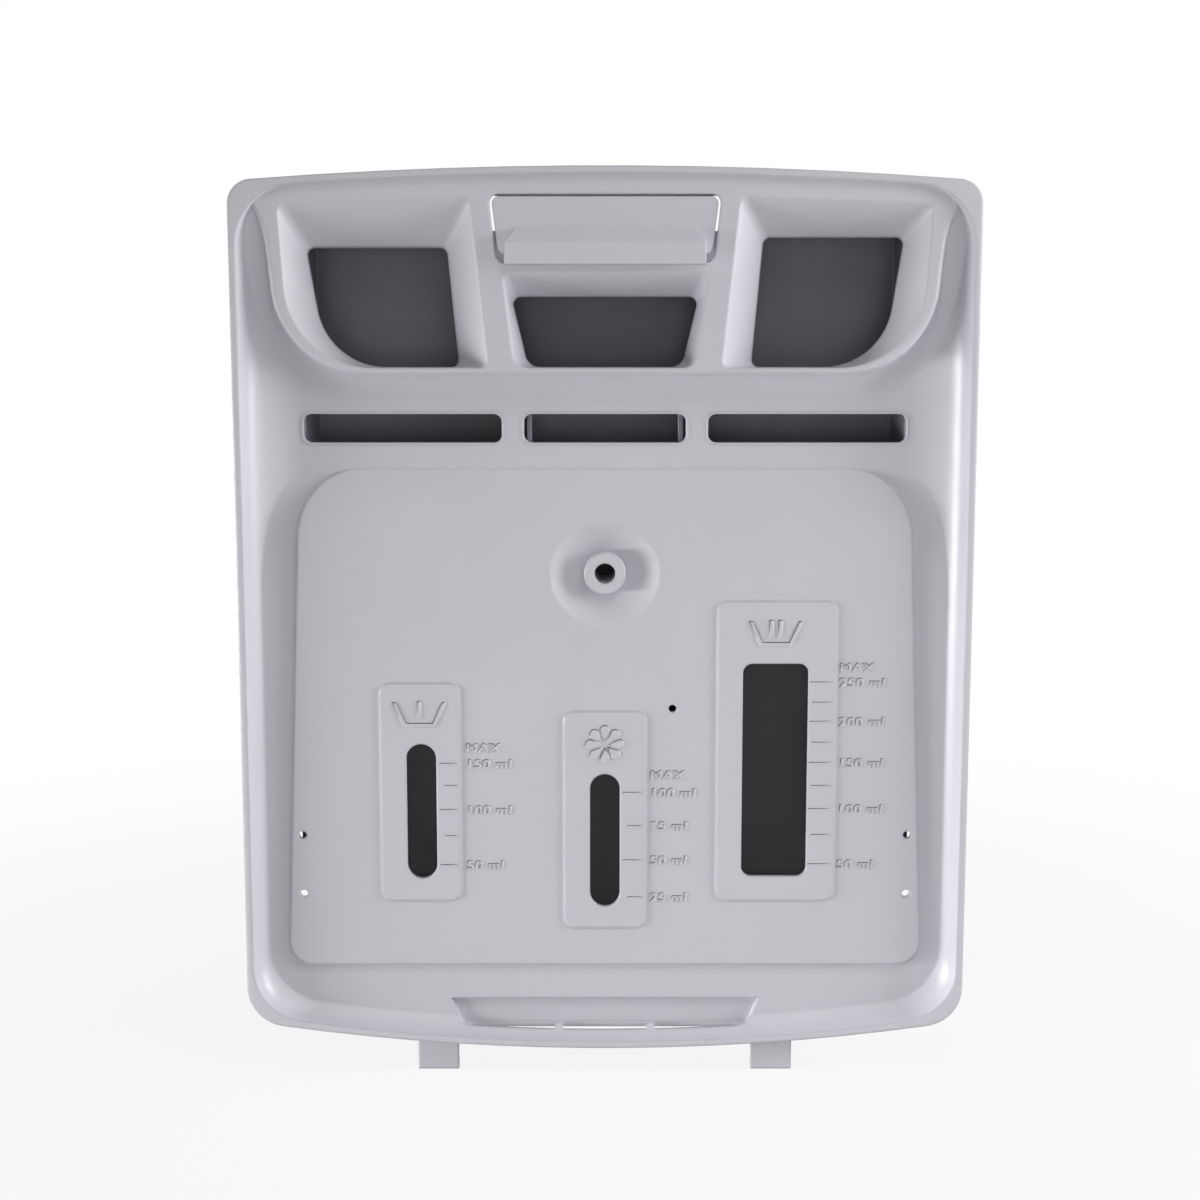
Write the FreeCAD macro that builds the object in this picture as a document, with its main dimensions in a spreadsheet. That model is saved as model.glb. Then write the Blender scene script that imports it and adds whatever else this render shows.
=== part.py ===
import FreeCAD, Part
import math
import os
import re

import Sketcher

# Lid-mounted detergent dispenser. X is the user's right, Y runs from the face towards the back, Z is up.
# Heights start at the tips of the hook tabs, depths at the front of the rim. Millimetres.
dimensions = {
    # Outline of the panel
    "panel_width": 302, "panel_height": 369, "top_bow": 6, "bottom_bow": 12,
    "top_corner_radius": 10, "bottom_corner_radius": 17, "wall": 2.4,
    # Dish inside the rim
    "rim_lip": 2.8, "dish_depth": 15, "cove_width": 23.2, "dish_corner_radius": 24,
    # Pouring hopper
    "hopper_depth": 2.5, "hopper_height": 83.4, "hopper_gap_top": 4.4, "hopper_gap_middle": 13.5,
    "hopper_gap_bottom": 19.5, "hopper_middle_drop": 26, "hopper_side_radius": 45, "hopper_corner_radius": 38,
    "hopper_flare": 13, "lip_round": 2.2, "valley_depth": 3.6, "valley_start": 14, "valley_end": 5,
    # Side inlets: mouth at the front, throat at the back
    "sill_wall": 2.6, "mouth_drop": 12.5, "mouth_edge_top": 19.5, "mouth_edge_bottom": 23.5,
    "mouth_inner_top": 54.5, "mouth_inner_bottom": 47.2, "mouth_corner_radius": 35, "mouth_radius": 3,
    "mouth_slant": 2.6,
    "throat_edge_top": 29.4, "throat_edge_bottom": 37.3, "throat_inner_top": 64.5,
    "throat_inner_bottom": 60, "throat_corner_radius": 28, "throat_radius": 3, "throat_fall": 0.8,
    "prewash_throat_drop": 33.3, "main_wash_throat_drop": 29.2,
    # Middle inlet
    "middle_mouth_drop": 42.7, "middle_mouth_top": 41.5, "middle_mouth_bottom": 36.7,
    "middle_throat_drop": 53.1, "middle_throat_top": 38.2, "middle_throat_bottom": 31.5,
    "middle_corner_radius": 6,
    # Outlet slots
    "slot_gap": 17.3, "slot_height": 11.9, "slot_radius": 3.3, "slot_edge": 27, "slot_inner": 42.5,
    "middle_slot_half": 33.3, "slot_lip": 0.8, "slot_bead": 0.35,
    # Raised field
    "field_gap": 10.4, "field_rise": 7, "ramp_length": 38, "field_edge_top": 23.5, "field_edge_bottom": 15,
    "field_margin": 32.5, "field_top_radius": 27, "field_bottom_radius": 10, "field_draft": 2,
    # Shelf that the field stands on
    "shelf_rise": 5, "shelf_length": 50, "shelf_drop": 4,
    # Siphon outlet
    "boss_drop": 43.2, "boss_diameter": 17.5, "bore_diameter": 8.6, "tube_diameter": 13, "tube_depth": 30,
    "scoop_radius": 23, "scoop_depth": 6.2,
    # Siphon cap
    "cap_diameter": 22, "cap_wall": 1.5, "cap_gap": 3, "cap_rib_width": 1.6, "cap_fit": 0.3,
    # Label pads and level windows
    "label_rise": 0.7, "label_radius": 4, "label_low": 74.8, "label_high": 168.5,
    "prewash_label_left": 94, "prewash_label_right": 60.7,
    "softener_label_low": 62.8, "softener_label_high": 156.5, "softener_label_half": 17.1,
    "main_label_high": 203.2, "main_label_left": 46.9, "main_label_right": 96.3,
    "window_width": 12.5, "prewash_window_x": 76.9, "prewash_window_low": 84.4, "prewash_window_high": 142.7,
    "softener_window_low": 72.1, "softener_window_high": 129.8,
    "main_window_x": 71.1, "main_window_width": 27.3, "main_window_low": 85.3, "main_window_high": 177,
    "main_window_radius": 4, "pane_thickness": 1.6, "pane_overlap": 3, "pane_fit": 0.3, "pane_step": 1.4,
    # Small round holes
    "hole_diameter": 3.3, "side_hole_edge": 23.8, "drain_hole_height": 103.2, "pin_hole_height": 77.7,
    "vent_hole_x": 28.2, "vent_hole_height": 157.7,
    # Drip scoop and its drain slits
    "drip_half_top": 65.5, "drip_half_bottom": 61, "drip_floor": 7.7, "drip_height": 11, "drip_radius": 3,
    "drip_depth": 2.6, "slit_length": 36, "slit_rib": 3.2, "slit_front": 7.5, "slit_depth": 4.6,
    # Hook tabs
    "tab_drop": 12, "tab_x": 71, "tab_width": 17.3, "tab_front": 7.5, "hook_depth": 2.5, "hook_height": 3,
    # Release latch
    "latch_drop": 12.2, "latch_height": 22.8, "latch_half_top": 45.8, "latch_half_bottom": 43,
    "latch_radius": 2.8, "latch_gap": 0.9, "latch_travel": 2.6, "latch_recess": 0.4, "slide_fit": 0.3,
    "thumb_bar_height": 9.1, "thumb_bar_slope": 5.6, "thumb_bar_overlap": 4.1, "thumb_bar_front": 4.4,
    "thumb_bar_half": 40.5, "thumb_bar_taper": 4.5, "flange_half": 48.5, "flange_thickness": 2,
    "flange_high": 26, "flange_inset": 2.5, "flange_top": 9.6, "bolt_half": 11, "bolt_drop": 1.1,
    "guide_wall": 1.8, "guide_lip": 2.5,
    # Latch spring and its pegs
    "spring_diameter": 7, "wire_diameter": 0.8, "spring_pitch": 2.4, "spring_length": 14, "spring_back": 12.5,
    "spring_fit": 0.1, "peg_diameter": 4.6, "peg_height": 3, "lug_half": 5, "lug_thickness": 2.4,
    # Latch bay behind the hopper
    "bay_half": 56.5, "bay_drop": 45,
    # Rear tray
    "tray_wall": 2, "tray_depth": 40, "tray_edge": 27.5, "tray_top_drop": 27, "tray_base": 48,
    "tray_flange": 5, "tray_flange_thickness": 2, "tray_draft": 3, "partition_half": 30.2,
    "partition_top_half": 44, "partition_kink": 2.5, "facet_front": 37.5, "facet_back": 72,
}

doc = FreeCAD.newDocument("dispenser")
sheet = doc.addObject("Spreadsheet::Sheet", "sizes")
for row, (alias, number) in enumerate(dimensions.items(), start=1):
    sheet.set(f"A{row}", alias)
    sheet.set(f"B{row}", str(number))
    sheet.setAlias(f"B{row}", alias)
doc.recompute()


def bound(text):
    """Point every size named in an expression at its cell."""
    return re.sub(r"[a-z_]+", lambda word: f"sizes.{word[0]}" if word[0] in dimensions else word[0], text)


def value(text):
    return float(sheet.evalExpression(bound(text)))


def tie(thing, path, text):
    thing.setExpression(path, bound(text))


def body(name):
    return doc.addObject("PartDesign::Body", name)


def sketch_on(owner, name, role="XZ_Plane", depth="0"):
    """A sketch on one of its body's origin planes; on XZ it lies at a depth behind the rim's front."""
    sketch = owner.newObject("Sketcher::SketchObject", name)
    plane = next(feature for feature in owner.Origin.OriginFeatures if feature.Role == role)
    sketch.AttachmentSupport = [(plane, "")]
    sketch.MapMode = "FlatFace"
    tie(sketch, "AttachmentOffset.Base.z", f"-({depth})" if role == "XZ_Plane" else depth)
    return sketch


def fix_point(sketch, geometry, end, x, y):
    for kind, text in (("DistanceX", x), ("DistanceY", y)):
        index = sketch.addConstraint(Sketcher.Constraint(kind, -1, 1, geometry, end, value(text)))
        tie(sketch, f"Constraints[{index}]", text)


def fix_radius(sketch, geometry, text):
    index = sketch.addConstraint(Sketcher.Constraint("Radius", geometry, value(text)))
    tie(sketch, f"Constraints[{index}]", text)


def left_of(direction):
    return FreeCAD.Vector(-direction.y, direction.x, 0)


def arc_between(centre, radius, start, end):
    """The counter-clockwise arc from one point to another."""
    angles = [math.atan2(point.y - centre.y, point.x - centre.x) for point in (start, end)]
    return Part.ArcOfCircle(Part.Circle(centre, FreeCAD.Vector(0, 0, 1), radius), *angles)


def rounding(point, into, out, radius, arch_before, arch_after):
    """Where a corner's arc leaves the edge before it, its centre, and where it joins the edge after it."""
    if not arch_before and not arch_after:
        turn = math.atan2(into.x * out.y - into.y * out.x, into.dot(out))
        reach = radius * math.tan(abs(turn) / 2)
        first = point - into * reach
        return first, first + left_of(into) * math.copysign(radius, turn), point + out * reach
    straight = out if arch_before else into
    arch_centre, arch_radius = arch_before or arch_after
    base = point + left_of(straight) * radius
    offset = base - arch_centre
    along = offset.dot(straight)
    spread = math.sqrt((arch_radius - radius) ** 2 - offset.dot(offset) + along ** 2)
    centre = base + straight * min(-along - spread, -along + spread, key=abs)
    on_line = centre - left_of(straight) * radius
    on_arch = arch_centre + (centre - arch_centre).normalize() * arch_radius
    return (on_arch, centre, on_line) if arch_before else (on_line, centre, on_arch)


def outline(sketch, corners, bows=()):
    """A closed, counter-clockwise outline of (x, height, radius) corners; bows names arched edges' rises."""
    bows = dict(bows)
    count = len(corners)
    points = [FreeCAD.Vector(value(x), value(height), 0) for x, height, _ in corners]
    ways = [(points[(i + 1) % count] - points[i]).normalize() for i in range(count)]
    arches = {}
    for i, rise in bows.items():
        half = (points[(i + 1) % count] - points[i]).Length / 2
        radius = (half ** 2 + value(rise) ** 2) / (2 * value(rise))
        arches[i] = (points[i] + ways[i] * half + left_of(ways[i]) * (radius - value(rise)), radius)
    turns = []
    for i, (_, _, radius) in enumerate(corners):
        before = (i - 1) % count
        turns.append(rounding(points[i], ways[before], ways[i], value(radius), arches.get(before), arches.get(i)))
    edges = []
    for i in range(count):
        start, end = turns[i][2], turns[(i + 1) % count][0]
        edge = arc_between(*arches[i], start, end) if i in arches else Part.LineSegment(start, end)
        edges.append(sketch.addGeometry(edge))
    for i, (x, height, radius) in enumerate(corners):
        before = edges[i - 1]
        if value(radius) == 0:
            sketch.addConstraint(Sketcher.Constraint("Coincident", before, 2, edges[i], 1))
            fix_point(sketch, edges[i], 1, x, height)
            continue
        first, centre, last = turns[i]
        left = (centre - first).dot(left_of(ways[i - 1])) > 0
        ends = (first, last) if left else (last, first)
        arc = sketch.addGeometry(arc_between(centre, value(radius), *ends))
        sketch.addConstraint(Sketcher.Constraint("Tangent", before, 2, arc, 1 if left else 2))
        sketch.addConstraint(Sketcher.Constraint("Tangent", edges[i], 1, arc, 2 if left else 1))
        fix_radius(sketch, arc, radius)
        corner = sketch.addGeometry(Part.Point(points[i]), True)
        sketch.addConstraint(Sketcher.Constraint("PointOnObject", corner, 1, before))
        sketch.addConstraint(Sketcher.Constraint("PointOnObject", corner, 1, edges[i]))
        fix_point(sketch, corner, 1, x, height)
    for i, rise in bows.items():
        chord = f"(({corners[(i + 1) % count][0]}) - ({corners[i][0]}))"
        fix_radius(sketch, edges[i], f"({chord}^2 / 4 + ({rise})^2) / (2 * ({rise}))")


def box_outline(sketch, left, right, low, high, radius="0"):
    outline(sketch, [(left, low, radius), (right, low, radius), (right, high, radius), (left, high, radius)])


def stadium(sketch, x, low, high, width):
    """An upright slot with round ends."""
    half = value(width) / 2
    middle = value(x)
    ends = [(f"({low}) + ({width}) / 2", math.pi), (f"({high}) - ({width}) / 2", 0)]
    arcs = []
    for height, start in ends:
        circle = Part.Circle(FreeCAD.Vector(middle, value(height), 0), FreeCAD.Vector(0, 0, 1), half)
        arcs.append(sketch.addGeometry(Part.ArcOfCircle(circle, start, start + math.pi)))
        fix_point(sketch, arcs[-1], 3, x, height)
        fix_radius(sketch, arcs[-1], f"({width}) / 2")
    for first, last, side in ((0, 1, half), (1, 0, -half)):
        heights = [value(ends[first][0]), value(ends[last][0])]
        line = Part.LineSegment(*(FreeCAD.Vector(middle + side, height, 0) for height in heights))
        edge = sketch.addGeometry(line)
        sketch.addConstraint(Sketcher.Constraint("Tangent", arcs[first], 2, edge, 1))
        sketch.addConstraint(Sketcher.Constraint("Tangent", edge, 2, arcs[last], 1))


def ring(sketch, x, height, diameter):
    circle = Part.Circle(FreeCAD.Vector(value(x), value(height), 0), FreeCAD.Vector(0, 0, 1), value(diameter) / 2)
    geometry = sketch.addGeometry(circle)
    fix_point(sketch, geometry, 3, x, height)
    fix_radius(sketch, geometry, f"({diameter}) / 2")


def pad(owner, sketch, length, backwards=True, both_ways=False):
    feature = owner.newObject("PartDesign::Pad", f"{sketch.Name}_pad")
    feature.Profile = sketch
    tie(feature, "Length", length)
    feature.Reversed = backwards
    feature.Midplane = both_ways
    sketch.Visibility = False
    return feature


def loft(owner, sketches, ruled=True):
    feature = owner.newObject("PartDesign::AdditiveLoft", f"{sketches[0].Name}_loft")
    feature.Profile = sketches[0]
    feature.Sections = sketches[1:]
    feature.Ruled = ruled
    return feature


def block(name, x, y, z):
    """A box between two expressions on each axis."""
    box = doc.addObject("Part::Box", name)
    for size, axis, (low, high) in (("Length", "x", x), ("Width", "y", y), ("Height", "z", z)):
        tie(box, size, f"({high}) - ({low})")
        tie(box, f"Placement.Base.{axis}", low)
    return box


def rod(name, x, z, diameter, front, back):
    """A cylinder along the depth."""
    cylinder = doc.addObject("Part::Cylinder", name)
    cylinder.Placement.Rotation = FreeCAD.Rotation(FreeCAD.Vector(1, 0, 0), -90)
    tie(cylinder, "Radius", f"({diameter}) / 2")
    tie(cylinder, "Height", f"({back}) - ({front})")
    for axis, place in (("x", x), ("y", front), ("z", z)):
        tie(cylinder, f"Placement.Base.{axis}", place)
    return cylinder


def fuse(name, pieces):
    union = doc.addObject("Part::MultiFuse", name)
    union.Shapes = pieces
    return union


def pair(kind, name, base, tool):
    result = doc.addObject(f"Part::{kind}", name)
    result.Base = base
    result.Tool = tool
    return result


def mirrored(sign, x):
    return f"{sign} * ({x})"


def side_loop(sign, corners):
    """Corners given for the user's right, kept counter-clockwise on either side."""
    loop = [(mirrored(sign, x), height, radius) for x, height, radius in corners]
    return loop if sign > 0 else loop[::-1]


side = "(panel_width / 2)"
top = "(tab_drop + panel_height)"
weld = "(dish_depth + wall)"
lip = f"({top} - hopper_height)"
sill = f"({lip} + sill_wall)"
slot_top = f"({lip} - slot_gap)"
slot_low = f"({slot_top} - slot_height)"
field_top = f"({slot_low} - field_gap)"
field_low = "(tab_drop + field_margin)"
field_front = "(dish_depth - field_rise)"
field_back = f"({field_front} + wall)"
shelf_front = "(dish_depth - shelf_rise)"
boss_z = f"({field_top} - boss_drop)"
plate_back = "(hopper_depth + wall)"
bay_floor = f"({top} - bay_drop)"
sides = {"prewash": -1, "main_wash": 1}


def rim_outline(sketch, inset, top_radius, bottom_radius):
    half = f"({side} - ({inset}))"
    low = f"tab_drop + bottom_bow + ({inset})"
    high = f"{top} - top_bow - ({inset})"
    corners = [(f"-{half}", low, bottom_radius), (half, low, bottom_radius),
               (half, high, top_radius), (f"-{half}", high, top_radius)]
    outline(sketch, corners, bows=((0, "bottom_bow"), (2, "top_bow")))


def swell(width, share):
    """How far a quarter of an ellipse has swung inwards at a share of its depth."""
    return f"({width}) * (1 - sqrt(1 - ({share})^2))"


def layered(name, steps, draw):
    """A smooth solid through the outlines that a function draws at (depth, offset) steps."""
    owner = body(name)
    sections = []
    for i, (depth, offset) in enumerate(steps):
        sections.append(sketch_on(owner, f"{name}_section_{i}", depth=depth))
        draw(sections[-1], offset)
    loft(owner, sections, ruled=False)
    return owner


cove_shares = (0, 0.5, 0.8, 0.95, 1)


def dish_form(name, outset, back):
    """The dish as a solid, its wall sweeping into the floor as one wide cove."""
    corner = "dish_corner_radius"
    steps = []
    for share in cove_shares:
        steps.append((f"{share} * ({back})", f"rim_lip - ({outset}) + {swell('cove_width', share)}"))
    return layered(name, steps, lambda s, inset: rim_outline(s, inset, corner, corner))


def hopper_outline(sketch, offset):
    """The hopper's front, as wide as the dish at its top and narrowing in a bend towards its lip."""
    half_top = f"({side} - hopper_gap_top + ({offset}))"
    half_middle = f"({side} - hopper_gap_middle + ({offset}))"
    half_low = f"({side} - hopper_gap_bottom + ({offset}))"
    low, middle, high = f"{lip} - ({offset})", f"{top} - hopper_middle_drop", f"{top} - top_bow"
    corner, bend = f"hopper_corner_radius + ({offset})", f"hopper_side_radius - ({offset})"
    corners = [(f"-{half_low}", low, corner), (half_low, low, corner), (half_middle, middle, bend),
               (half_top, high, "mouth_radius"), (f"-{half_top}", high, "mouth_radius"),
               (f"-{half_middle}", middle, bend)]
    outline(sketch, corners, bows=((3, "top_bow"),))


def hopper_form():
    """The hopper's outside: a rounded lip, then a flank that flares into the dish floor."""
    edge = "(hopper_depth + lip_round)"
    lip_steps = [(f"hopper_depth + {share} * lip_round", f"-{swell('lip_round', f'1 - {share}')}")
                 for share in (0, 0.15, 0.5, 1)]
    flank_steps = [(f"{edge} + {share} * (dish_depth - {edge})", swell("hopper_flare", share))
                   for share in cove_shares]
    return [layered("hopper_lip", lip_steps, hopper_outline),
            layered("hopper_flank", flank_steps, hopper_outline)]


def hopper_core():
    """The room behind the hopper's front wall."""
    owner = body("hopper_core")
    front_sketch = sketch_on(owner, "hopper_core_front", depth=plate_back)
    hopper_outline(front_sketch, "-wall")
    back_sketch = sketch_on(owner, "hopper_core_back", depth=weld)
    hopper_outline(back_sketch, "0")
    loft(owner, [front_sketch, back_sketch])
    return owner


def valley_form(name, inset, back):
    """The dish floor beside the hopper, which climbs forwards from the lip to the hopper's top."""
    owner = body(name)
    section = sketch_on(owner, f"{name}_section", role="YZ_Plane")
    front = f"valley_depth + ({inset})"
    high, low = f"{top} + wall", f"{lip} - valley_end"
    foot = f"dish_depth + wall / 4 + ({inset})"
    spots = [(back, high), (front, high), (front, f"{top} - valley_start"), (foot, low), (back, low)]
    outline(section, [(depth, height, "0") for depth, height in spots])
    pad(owner, section, "panel_width", backwards=False, both_ways=True)
    return owner


def plateau(name, low, high, front, reach, foot, back):
    """A rise across the panel: a flat front, its top rolling back to its foot over a long arc."""
    owner = body(name)
    section = sketch_on(owner, f"{name}_section", role="YZ_Plane")
    bend = f"(({high}) - ({reach}))"
    rise = f"(({foot}) - ({front}))"
    curl = f"((({reach})^2 + {rise}^2) / (2 * {rise}))"
    spots = [(back, low), (front, low), (front, bend), (foot, high), (back, high)]
    points = [FreeCAD.Vector(value(depth), value(height), 0) for depth, height in spots]
    edges = []
    for i in range(len(points)):
        start, end = points[i], points[(i + 1) % len(points)]
        if i == 2:
            centre = FreeCAD.Vector(value(f"({front}) + {curl}"), value(bend), 0)
            edges.append(section.addGeometry(arc_between(centre, value(curl), end, start)))
        else:
            edges.append(section.addGeometry(Part.LineSegment(start, end)))
    for i, (depth, height) in enumerate(spots):
        before_end = 1 if i == 3 else 2
        after_start = 2 if i == 2 else 1
        link = Sketcher.Constraint("Coincident", edges[i - 1], before_end, edges[i], after_start)
        section.addConstraint(link)
        fix_point(section, edges[i], after_start, depth, height)
    fix_radius(section, edges[2], curl)
    pad(owner, section, "panel_width", backwards=False, both_ways=True)
    return owner


def field_form(name, inset, front, back):
    """The raised field: a plateau kept inside the field's own outline."""
    profile = plateau(f"{name}_profile", f"{field_low} + ({inset})", f"{field_top} - ({inset})", front,
                      f"ramp_length - ({inset})", f"dish_depth + ({inset})", back)
    plan = body(f"{name}_plan")
    base_sketch = sketch_on(plan, f"{name}_base", depth=back)
    field_outline(base_sketch, inset)
    front_sketch = sketch_on(plan, f"{name}_front", depth=front)
    field_outline(front_sketch, f"{inset} + field_draft")
    loft(plan, [base_sketch, front_sketch])
    return pair("Common", name, profile, plan)


def shelf_form(name, inset, low, back):
    """The shelf beside and below the field, a small step behind it."""
    return plateau(name, low, f"{field_top} - shelf_drop - ({inset})", f"{shelf_front} + ({inset})",
                   f"shelf_length - ({inset})", f"dish_depth + ({inset})", back)


def field_outline(sketch, inset):
    half_low = f"({side} - field_edge_bottom - ({inset}))"
    half_top = f"({side} - field_edge_top - ({inset}))"
    low = f"{field_low} + ({inset})"
    high = f"{field_top} - ({inset})"
    outline(sketch, [(f"-{half_low}", low, "field_bottom_radius"), (half_low, low, "field_bottom_radius"),
                     (half_top, high, "field_top_radius"), (f"-{half_top}", high, "field_top_radius")])


def inlet_corners(kind, sign_name, grow):
    """Corners of a side inlet at its mouth or its throat, grown outwards for the outside of its wall."""
    if kind == "mouth":
        low = f"{sill} - ({grow})"
        high = f"{top} - mouth_drop + ({grow})"
        inner_low, inner_high = f"mouth_inner_bottom - ({grow})", f"mouth_inner_top - ({grow})"
        outer_low = f"{side} - mouth_edge_bottom + ({grow})"
        outer_high = f"{side} - mouth_edge_top + ({grow})"
        slant, sweep, small = "mouth_slant", "mouth_corner_radius", "mouth_radius"
    else:
        low = f"{sill} - throat_fall - ({grow})"
        high = f"{top} - {sign_name}_throat_drop + ({grow})"
        inner_low, inner_high = f"throat_inner_bottom - ({grow})", f"throat_inner_top - ({grow})"
        outer_low = f"{side} - throat_edge_bottom + ({grow})"
        outer_high = f"{side} - throat_edge_top + ({grow})"
        slant, sweep, small = "0", "throat_corner_radius", "throat_radius"
    return [(inner_low, low, f"{small} + ({grow})"), (outer_low, low, f"{sweep} + ({grow})"),
            (outer_high, f"{high} - {slant}", f"{small} + ({grow})"), (inner_high, high, f"{small} + ({grow})")]


def inlet(name, corners_at, grow):
    """A pouring inlet as a solid, from its mouth in the hopper's front to its throat at the back."""
    owner = body(name)
    mouth = sketch_on(owner, f"{name}_mouth", depth="hopper_depth")
    outline(mouth, corners_at("mouth", grow))
    throat = sketch_on(owner, f"{name}_throat", depth=weld)
    outline(throat, corners_at("throat", grow))
    loft(owner, [mouth, throat])
    return owner


def middle_corners(kind, grow):
    low = f"{sill} - ({grow})" if kind == "mouth" else f"{sill} - throat_fall - ({grow})"
    high = f"{top} - middle_{kind}_drop + ({grow})"
    half_low, half_high = f"(middle_{kind}_bottom + ({grow}))", f"(middle_{kind}_top + ({grow}))"
    small, wide = f"{kind}_radius + ({grow})", f"middle_corner_radius + ({grow})"
    return [(f"-{half_low}", low, wide), (half_low, low, wide),
            (half_high, high, small), (f"-{half_high}", high, small)]


def inlets(grow, suffix):
    made = [inlet(f"middle_inlet_{suffix}", middle_corners, grow)]
    for name, sign in sides.items():
        def corners_at(kind, by, name=name, sign=sign):
            return side_loop(sign, inlet_corners(kind, name, by))
        made.append(inlet(f"{name}_inlet_{suffix}", corners_at, grow))
    return made


tray_side = f"({side} - tray_edge)"
tray_top = f"({top} - tray_top_drop)"
tray_low = "(tab_drop + tray_base)"
kink = f"({slot_top} + partition_kink)"
spread = "(partition_top_half - partition_half)"
mitre = "tan(22.5 deg)"


def side_room(draft, facet):
    """A side compartment's outline on the user's right."""
    low, high = f"{tray_low} + {draft}", f"{tray_top} - {draft}"
    outer = f"({tray_side} - {draft})"
    near, far = "partition_half + tray_wall", "partition_top_half + tray_wall"
    bend = f"({kink} - tray_wall * {mitre})"
    step = f"bay_half + tray_wall + {draft}"
    ceiling = f"{bay_floor} - tray_wall - {draft}"
    spots = [(near, low), (f"{outer} - {facet}", low), (outer, f"{low} + {facet}"), (outer, high),
             (step, high), (step, ceiling), (far, ceiling), (far, f"{bend} + {spread}"), (near, bend)]
    return [(x, height, "0") for x, height in spots]


def middle_room(draft):
    low, ceiling = f"{tray_low} + {draft}", f"{bay_floor} - tray_wall - {draft}"
    right = [("partition_half", low), ("partition_half", kink),
             ("partition_top_half", f"{kink} + {spread}"), ("partition_top_half", ceiling)]
    left = [(f"-{x}", height) for x, height in reversed(right)]
    return [(x, height, "0") for x, height in right + left]


def tray_outline(grow, draft, facet):
    """The tray's outside, stepped round the latch bay."""
    low, high = f"{tray_low} + {draft} - ({grow})", f"{tray_top} - {draft} + ({grow})"
    outer = f"({tray_side} - {draft} + ({grow}))"
    step = f"(bay_half + tray_wall + {draft} - ({grow}))"
    ceiling = f"{bay_floor} - tray_wall - {draft} + ({grow})"
    cut = f"({facet} + ({grow}) * (1 - {mitre}))"
    right = [(f"{outer} - {cut}", low), (outer, f"{low} + {cut}"), (outer, high), (step, high), (step, ceiling)]
    left = [(f"-({x})", height) for x, height in reversed(right)]
    return [(x, height, "0") for x, height in right + left]


def room_forms(suffix, back, draft, facet):
    """The three compartments as solids, from the weld plane backwards."""
    forms = []
    outlines = {"softener": (middle_room("0"), middle_room(draft))}
    for name, sign in sides.items():
        outlines[name] = (side_loop(sign, side_room("0", "facet_front")), side_loop(sign, side_room(draft, facet)))
    for name, (front, rear) in outlines.items():
        owner = body(f"{name}_{suffix}")
        near_sketch = sketch_on(owner, f"{name}_{suffix}_near", depth=weld)
        outline(near_sketch, front)
        far_sketch = sketch_on(owner, f"{name}_{suffix}_far", depth=back)
        outline(far_sketch, rear)
        loft(owner, [near_sketch, far_sketch])
        forms.append(owner)
    return forms


def prism(name, front, back, draw):
    """A body padded backwards from a sketch that the given function draws."""
    owner = body(name)
    owner.AllowCompound = True
    sketch = sketch_on(owner, f"{name}_sketch", depth=front)
    draw(sketch)
    pad(owner, sketch, f"({back}) - ({front})")
    return owner


def weld_ribs():
    """Ribs in the panel's hollows that the tray's walls are welded to."""
    walls = prism("rib_walls", "0", weld, lambda s: outline(s, tray_outline("tray_wall", "0", "facet_front")))
    rooms = [prism("rib_room_softener", "0", weld, lambda s: outline(s, middle_room("0")))]
    for name, sign in sides.items():
        corners = side_loop(sign, side_room("0", "facet_front"))
        rooms.append(prism(f"rib_room_{name}", "0", weld, lambda s, corners=corners: outline(s, corners)))
    return pair("Cut", "rib_pattern", walls, fuse("rib_rooms", rooms))


def draw_slots(sketch, grow):
    low, high, small = f"{slot_low} - ({grow})", f"{slot_top} + ({grow})", f"slot_radius + ({grow})"
    box_outline(sketch, f"-middle_slot_half - ({grow})", f"middle_slot_half + ({grow})", low, high, small)
    for sign in sides.values():
        near, far = mirrored(sign, f"slot_inner - ({grow})"), mirrored(sign, f"({side} - slot_edge) + ({grow})")
        box_outline(sketch, min(near, far, key=value), max(near, far, key=value), low, high, small)


def draw_labels(sketch):
    box_outline(sketch, "-prewash_label_left", "-prewash_label_right", "label_low", "label_high", "label_radius")
    box_outline(sketch, "-softener_label_half", "softener_label_half",
                "softener_label_low", "softener_label_high", "label_radius")
    box_outline(sketch, "main_label_left", "main_label_right", "label_low", "main_label_high", "label_radius")


def draw_window(sketch, name, grow):
    if name == "main_wash":
        half = f"(main_window_width / 2 + ({grow}))"
        box_outline(sketch, f"main_window_x - {half}", f"main_window_x + {half}", f"main_window_low - ({grow})",
                    f"main_window_high + ({grow})", f"main_window_radius + ({grow})")
        return
    x = "-prewash_window_x" if name == "prewash" else "0"
    stadium(sketch, x, f"{name}_window_low - ({grow})", f"{name}_window_high + ({grow})",
            f"window_width + 2 * ({grow})")


window_names = ("prewash", "softener", "main_wash")


def draw_windows(sketch):
    for name in window_names:
        draw_window(sketch, name, "0")


def draw_holes(sketch):
    ring(sketch, "vent_hole_x", "vent_hole_height", "hole_diameter")
    for sign in sides.values():
        for height in ("drain_hole_height", "pin_hole_height"):
            ring(sketch, mirrored(sign, f"({side} - side_hole_edge)"), height, "hole_diameter")


def draw_drip(sketch, grow):
    low, high = f"tab_drop + drip_floor - ({grow})", "tab_drop + drip_floor + drip_height"
    half_low, half_high = f"(drip_half_bottom + ({grow}))", f"(drip_half_top + ({grow}))"
    outline(sketch, [(f"-{half_low}", low, "drip_radius"), (half_low, low, "drip_radius"),
                     (half_high, high, "0"), (f"-{half_high}", high, "0")])


def sphere(name, grow):
    """The ball that the shallow scoop round the siphon outlet is part of."""
    ball = doc.addObject("Part::Sphere", name)
    curve = "((scoop_radius^2 + scoop_depth^2) / (2 * scoop_depth))"
    tie(ball, "Radius", f"{curve} + ({grow})")
    tie(ball, "Placement.Base.y", f"{field_front} + scoop_depth - {curve}")
    tie(ball, "Placement.Base.z", boss_z)
    return ball


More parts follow.
